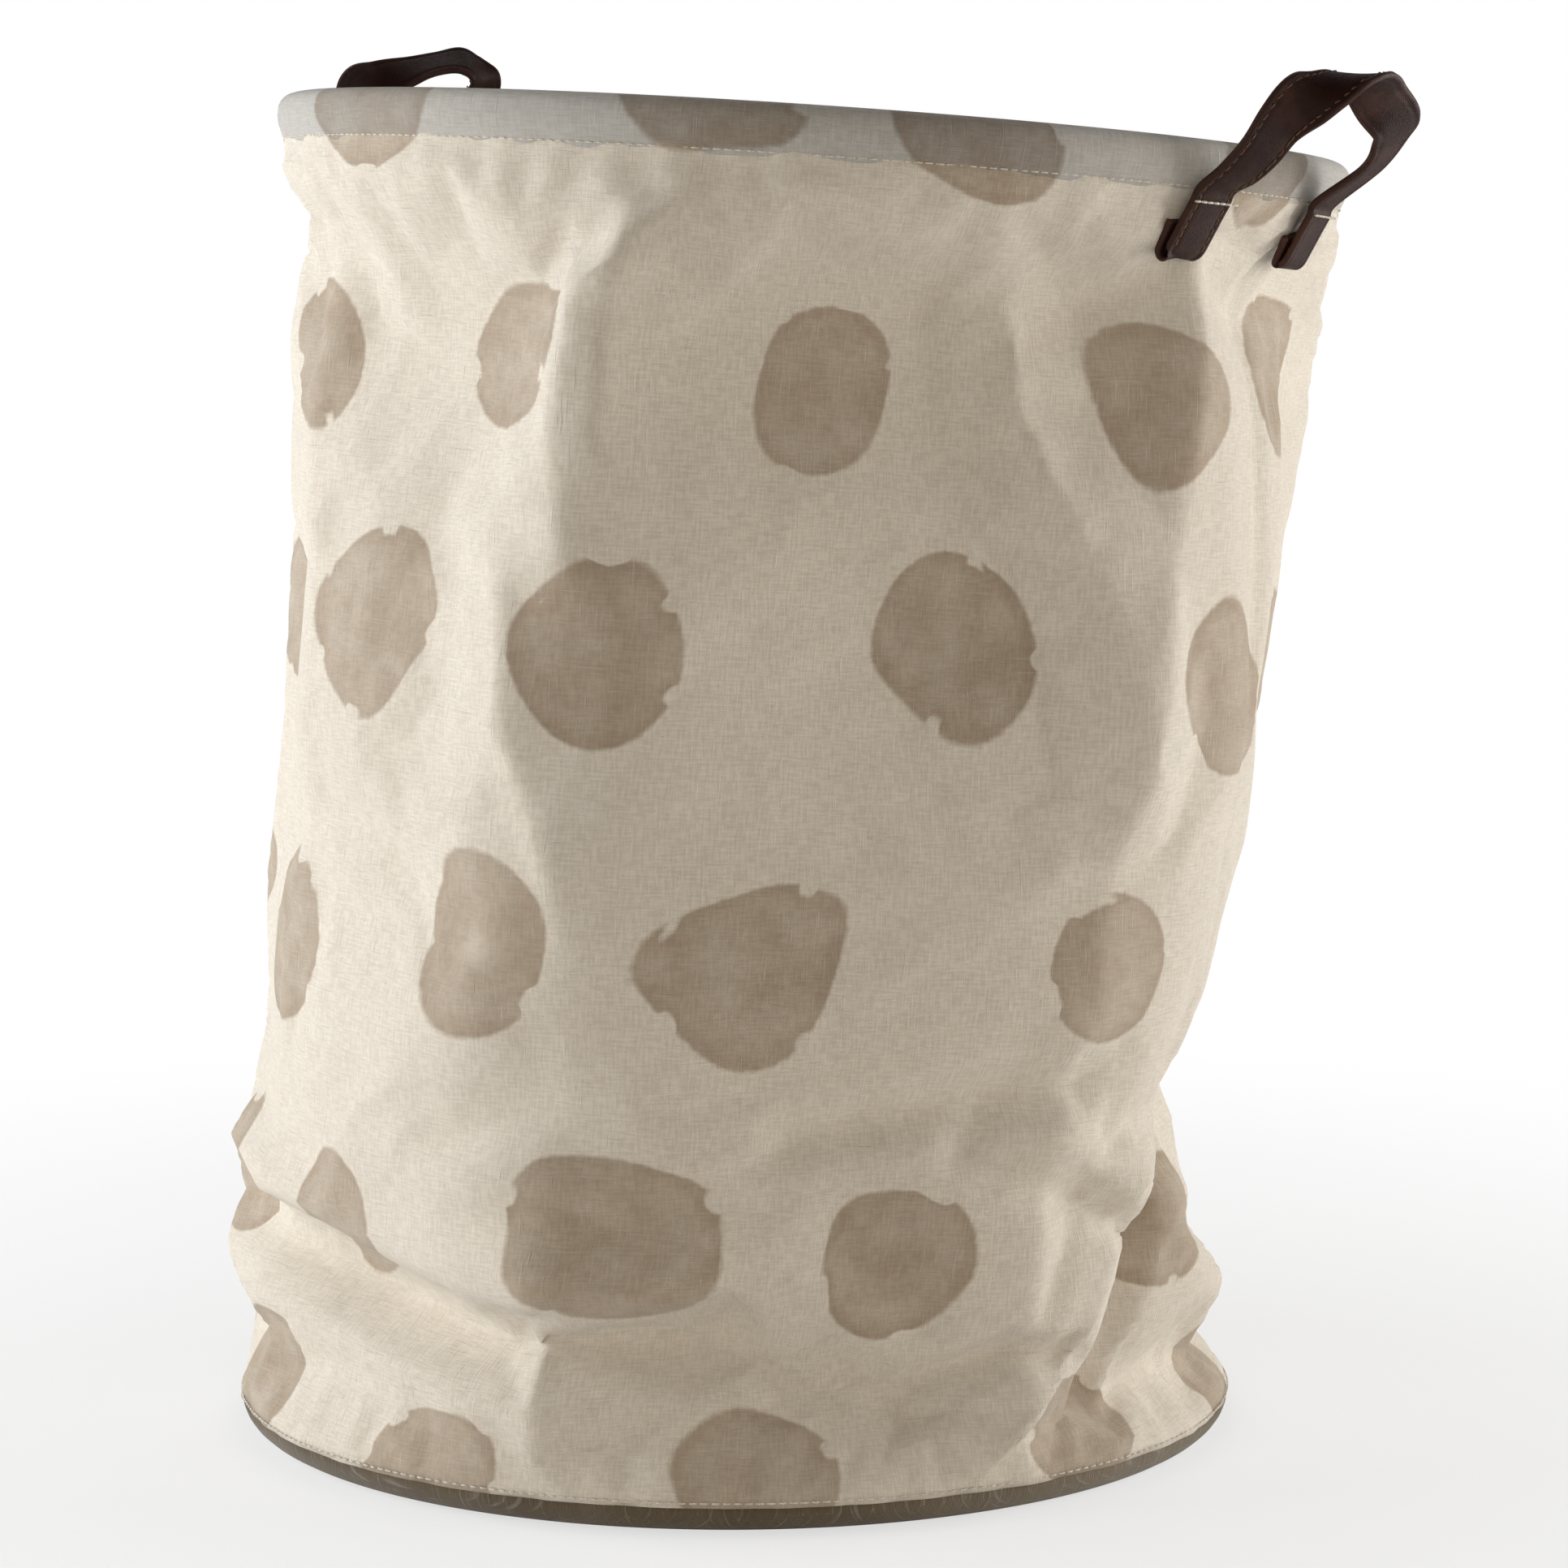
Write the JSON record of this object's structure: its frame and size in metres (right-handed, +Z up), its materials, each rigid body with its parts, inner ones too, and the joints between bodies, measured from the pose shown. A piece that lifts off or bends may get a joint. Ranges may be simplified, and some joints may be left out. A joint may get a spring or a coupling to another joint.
{
  "type": "fabric storage bin",
  "caption": "Tall round collapsible cloth bin with a lined inside, a wire-hooped hem and stitched leather-look strap loops at opposite sides of the rim.",
  "frame": {"origin": "centre of the base's flat underside", "axes": "+Z up out of the open top, +X towards the right-hand handle, which is the nearer one from the reference view"},
  "size_m": [0.4, 0.3623, 0.4684],
  "materials": {
    "canvas": "cream cotton and linen canvas printed with soft taupe spots",
    "lining": "white waterproof film lining, semi-matte",
    "tape": "cream woven binding tape",
    "base_cloth": "cream canvas, shaded underneath",
    "leather": "dark brown coated leather, fine grain, satin",
    "brown_thread": "brown waxed stitching thread",
    "cream_thread": "cream sewing thread",
    "steel": "plain spring-steel wire"
  },
  "bodies": {
    "bin": {"base_panel": "base_cloth", "base_lining": "lining", "base_seam_tape": "tape", "base_seam_thread": "cream_thread", "fabric_wall": "canvas", "wall_lining": "lining", "side_seam_tape": "tape"},
    "rim": {"rim_casing": "canvas", "rim_hoop": "steel", "hoop_sleeve": "steel", "hem_thread": "cream_thread", "right_tab_front": "leather", "right_tab_back": "leather", "right_tab_stitch_front": "cream_thread", "right_tab_stitch_back": "cream_thread", "left_tab_front": "leather", "left_tab_back": "leather", "left_tab_stitch_front": "cream_thread", "left_tab_stitch_back": "cream_thread"},
    "right_handle": {"right_strap": "leather", "right_strap_thread_upper": "brown_thread", "right_strap_thread_lower": "brown_thread"},
    "left_handle": {"left_strap": "leather", "left_strap_thread_upper": "brown_thread", "left_strap_thread_lower": "brown_thread"}
  },
  "joints": [
    {"name": "collapse", "type": "slide", "parent": "bin", "child": "rim", "axis": [0, 0, 1], "range_m": [-0.33, 0], "deforming": ["fabric_wall", "wall_lining", "side_seam_tape"]},
    {"name": "right_handle_swing", "type": "hinge", "parent": "rim", "child": "right_handle", "pos_m": [0.19963, 0.01554, 0.40521], "axis": [-0.0011, 0.9992, -0.0403], "range_deg": [-25, 80]},
    {"name": "left_handle_swing", "type": "hinge", "parent": "rim", "child": "left_handle", "pos_m": [-0.15862, 0.01593, 0.42407], "axis": [0.0011, -0.9992, 0.0403], "range_deg": [-4, 80]}
  ]
}
